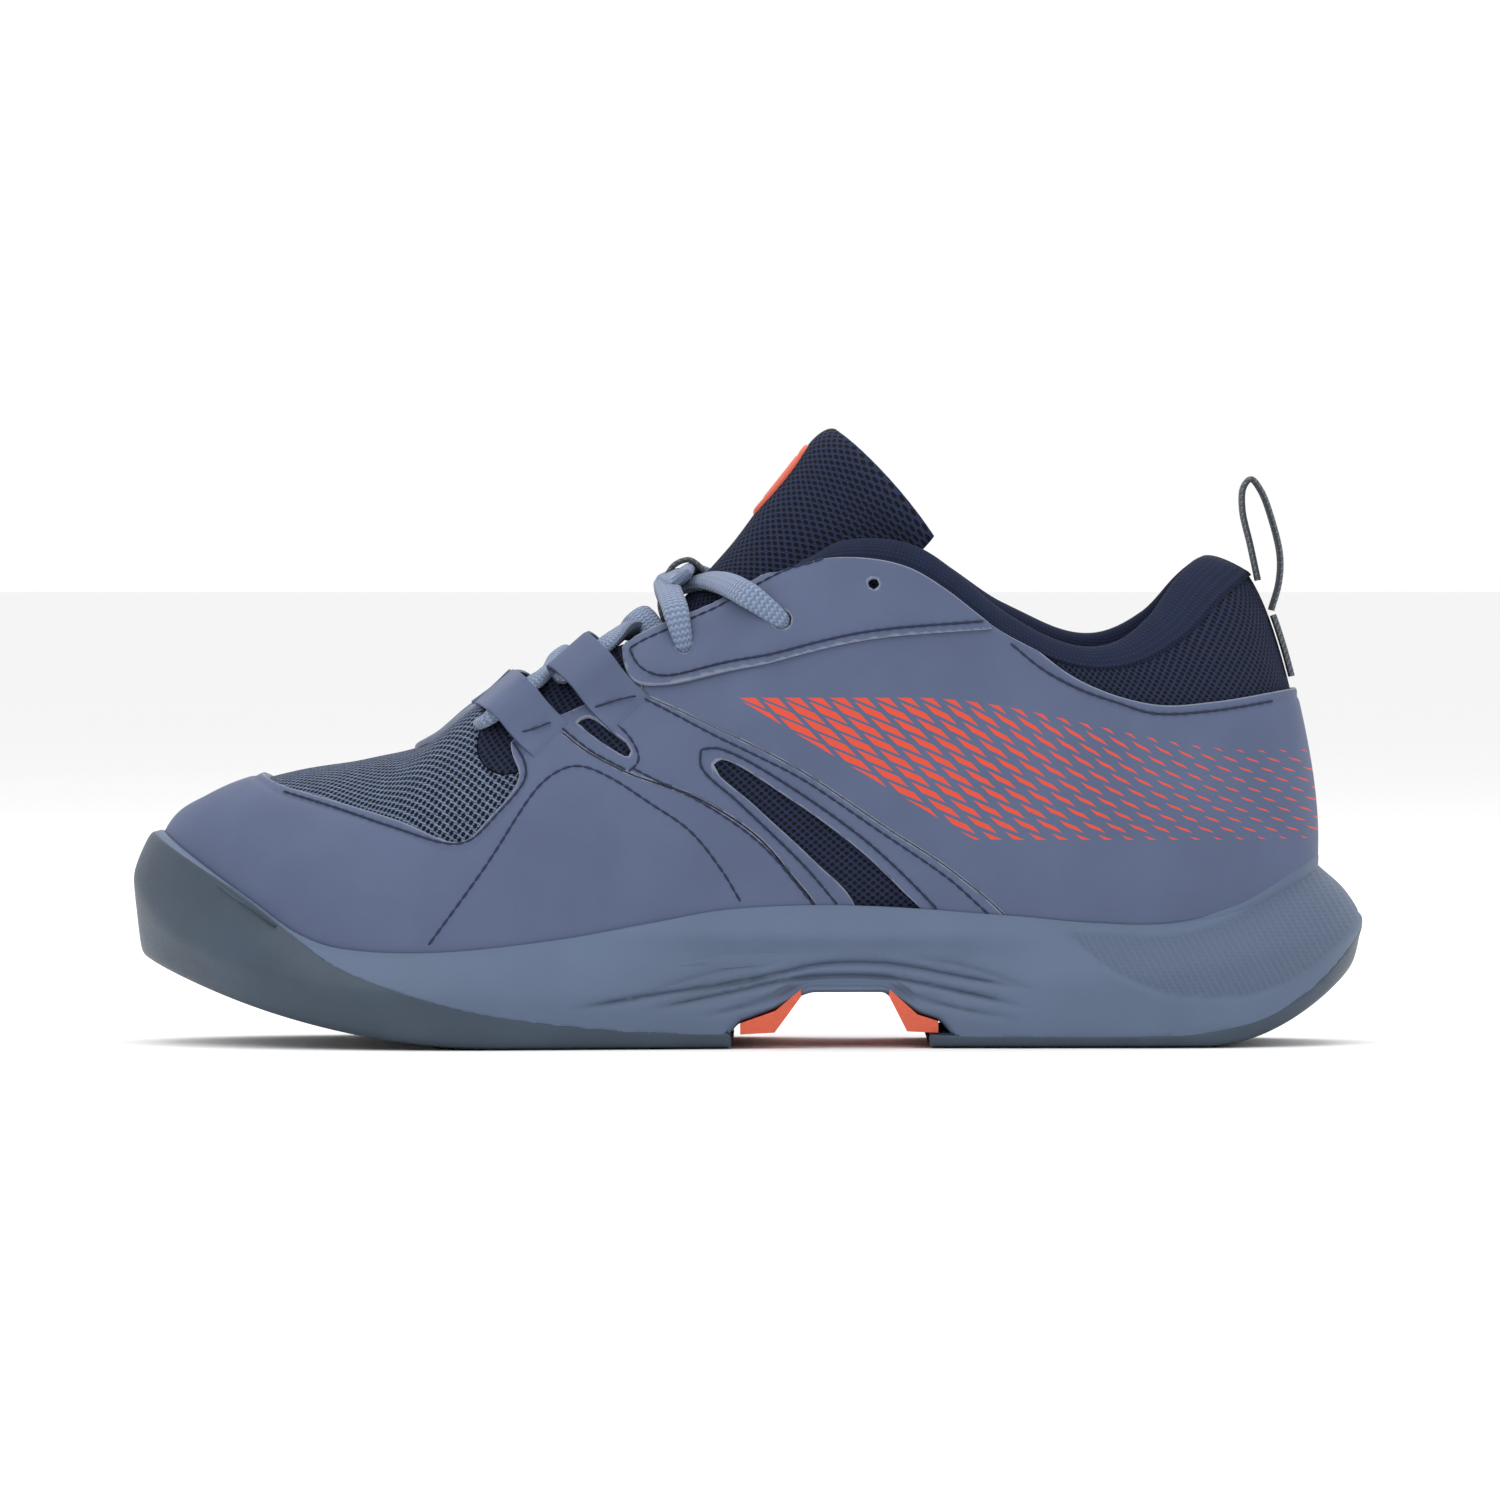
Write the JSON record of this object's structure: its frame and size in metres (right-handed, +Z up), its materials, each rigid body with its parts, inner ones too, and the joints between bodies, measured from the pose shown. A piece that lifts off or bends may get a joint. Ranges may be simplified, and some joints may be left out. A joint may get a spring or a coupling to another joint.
{
  "type": "court shoe",
  "caption": "Low-cut lace-up court shoe, left foot: rubber outsole with toe bumper, cupped foam midsole, mesh upper with overlays, padded collar and hinged tongue top.",
  "frame": {"origin": "on the ground plane, under the middle of the shoe's bounding box", "axes": "+X from toe to heel, +Y to the inner (medial) side, +Z up"},
  "size_m": [0.3, 0.1105, 0.149],
  "materials": {
    "outsole_forefoot": "satin moulded rubber, slate blue",
    "outsole_heel": "satin moulded rubber, dark slate",
    "midsole": "matte moulded foam, grey blue",
    "shank_plate": "semi-gloss moulded plastic, orange",
    "lasting_board": "stitched fibre board",
    "sockliner_foam": "open-cell foam",
    "sockliner_cloth": "knitted cloth",
    "vamp_mesh": "knitted mesh, navy with grey-blue threads",
    "quarter_mesh_lateral": "knitted mesh, navy",
    "quarter_mesh_medial": "knitted mesh, navy",
    "lining": "brushed knit lining",
    "collar_foam": "soft foam",
    "collar_binding": "rolled knit edge",
    "heel_counter": "thermoformed stiffener",
    "toe_puff": "thermoformed stiffener",
    "front_wrap": "matte synthetic leather, dusty blue",
    "saddle_lateral": "matte synthetic leather, dusty blue",
    "saddle_medial": "matte synthetic leather, dusty blue",
    "quarter_panel_lateral": "matte synthetic leather, dusty blue with orange print",
    "quarter_panel_medial": "matte synthetic leather, dusty blue with orange print",
    "eyestay_lateral": "matte synthetic leather, dusty blue",
    "eyestay_medial": "matte synthetic leather, dusty blue",
    "lace_strap_front_lateral": "matte synthetic leather, dusty blue",
    "lace_strap_front_medial": "matte synthetic leather, dusty blue",
    "lace_strap_rear_lateral": "matte synthetic leather, dusty blue",
    "lace_strap_rear_medial": "matte synthetic leather, dusty blue",
    "throat_tab": "matte synthetic leather, dusty blue with a pale edge",
    "shoelace": "oval braided lace, grey blue",
    "aglet_lateral": "clear film",
    "aglet_medial": "clear film",
    "tongue_lower": "knitted mesh, navy",
    "tongue_face": "knitted mesh, navy",
    "tongue_padding": "soft foam",
    "tongue_lining": "brushed knit lining",
    "tongue_patch": "moulded orange patch",
    "tongue_lace_keeper": "woven webbing, grey",
    "heel_pull_loop": "woven webbing, grey",
    "heel_pull_tail": "woven webbing, grey"
  },
  "bodies": {
    "shoe": {"outsole_forefoot": "outsole_forefoot", "outsole_heel": "outsole_heel", "midsole": "midsole", "shank_plate": "shank_plate", "lasting_board": "lasting_board", "vamp_mesh": "vamp_mesh", "quarter_mesh_lateral": "quarter_mesh_lateral", "quarter_mesh_medial": "quarter_mesh_medial", "lining": "lining", "collar_foam": "collar_foam", "collar_binding": "collar_binding", "heel_counter": "heel_counter", "toe_puff": "toe_puff", "front_wrap": "front_wrap", "saddle_lateral": "saddle_lateral", "saddle_medial": "saddle_medial", "quarter_panel_lateral": "quarter_panel_lateral", "quarter_panel_medial": "quarter_panel_medial", "eyestay_lateral": "eyestay_lateral", "eyestay_medial": "eyestay_medial", "lace_strap_front_lateral": "lace_strap_front_lateral", "lace_strap_front_medial": "lace_strap_front_medial", "lace_strap_rear_lateral": "lace_strap_rear_lateral", "lace_strap_rear_medial": "lace_strap_rear_medial", "throat_tab": "throat_tab", "shoelace": "shoelace", "aglet_lateral": "aglet_lateral", "aglet_medial": "aglet_medial", "tongue_lower": "tongue_lower", "tongue_lace_keeper": "tongue_lace_keeper", "heel_pull_tail": "heel_pull_tail"},
    "tongue_top": {"tongue_face": "tongue_face", "tongue_padding": "tongue_padding", "tongue_lining": "tongue_lining", "tongue_patch": "tongue_patch"},
    "insole": {"sockliner_foam": "sockliner_foam", "sockliner_cloth": "sockliner_cloth"},
    "pull_loop": {"heel_pull_loop": "heel_pull_loop"}
  },
  "joints": [
    {"name": "tongue_flex", "type": "hinge", "parent": "shoe", "child": "tongue_top", "pos_m": [-0.00594, 0.003, 0.11762], "axis": [0, -1, 0], "range_deg": [0, 30], "stiffness_Nm_per_rad": 0.15},
    {"name": "pull_loop_fold", "type": "hinge", "parent": "shoe", "child": "pull_loop", "pos_m": [0.12775, 0.001, 0.1052], "axis": [0, 1, 0], "range_deg": [0, 75], "stiffness_Nm_per_rad": 0.003},
    {"name": "insole_lift", "type": "hinge", "parent": "shoe", "child": "insole", "pos_m": [-0.1385, 0.003, 0.0235], "axis": [0, -1, 0], "range_deg": [0, 8]}
  ]
}
